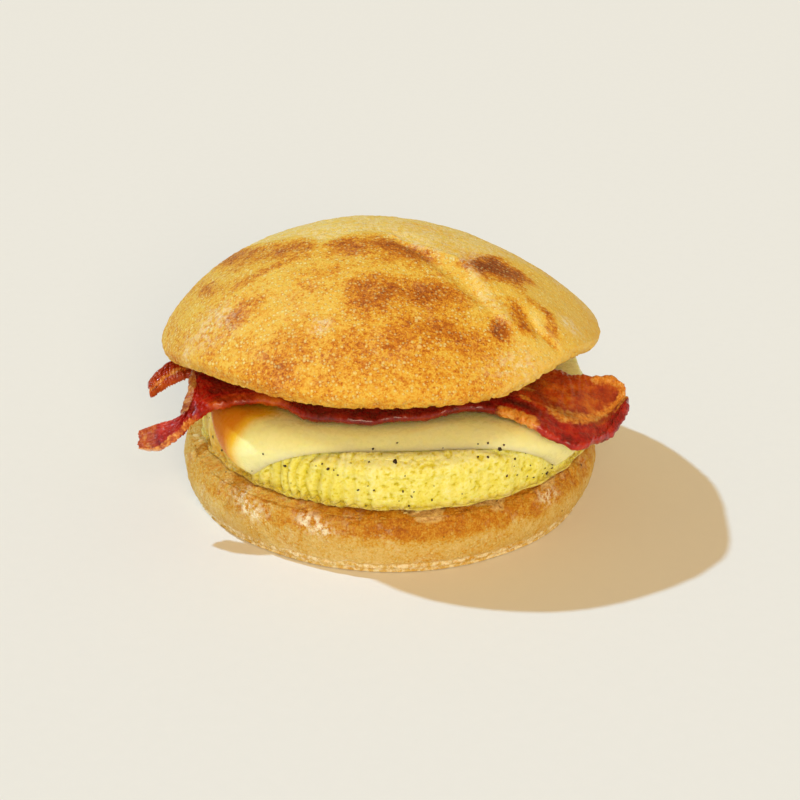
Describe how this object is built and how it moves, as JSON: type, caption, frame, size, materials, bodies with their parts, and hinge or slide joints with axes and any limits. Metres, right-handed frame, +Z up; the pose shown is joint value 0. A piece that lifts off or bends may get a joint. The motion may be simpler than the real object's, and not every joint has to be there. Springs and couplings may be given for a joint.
{
  "type": "breakfast sandwich",
  "caption": "Round crusty roll cut in two and filled with a thick egg patty, a slice of cheese draped over it and strips of crisp bacon that stick out at the sides.",
  "frame": {"origin": "centre of the flat underside of the bottom half of the roll", "axes": "+Z up; the front, where the egg and the cheese's edge show most, faces -Y; the broad end of the bacon points to +X"},
  "size_m": [0.1087, 0.1016, 0.0628],
  "materials": {
    "bottom_crust": "matte, floury baked crust, pale gold",
    "egg": "soft satin cooked egg, bright yellow",
    "cheese": "smooth satin, pale yellow, slightly translucent",
    "bacon": "glossy fried meat, dark red with tan fat",
    "top_crust": "matte blistered baked crust, golden with brown toasted patches"
  },
  "bodies": {
    "root": {"bottom_bun": "bottom_crust", "egg_patty": "egg", "cheese_slice": "cheese", "bacon_front": "bacon", "bacon_back": "bacon", "top_bun": "top_crust"}
  },
  "joints": []
}
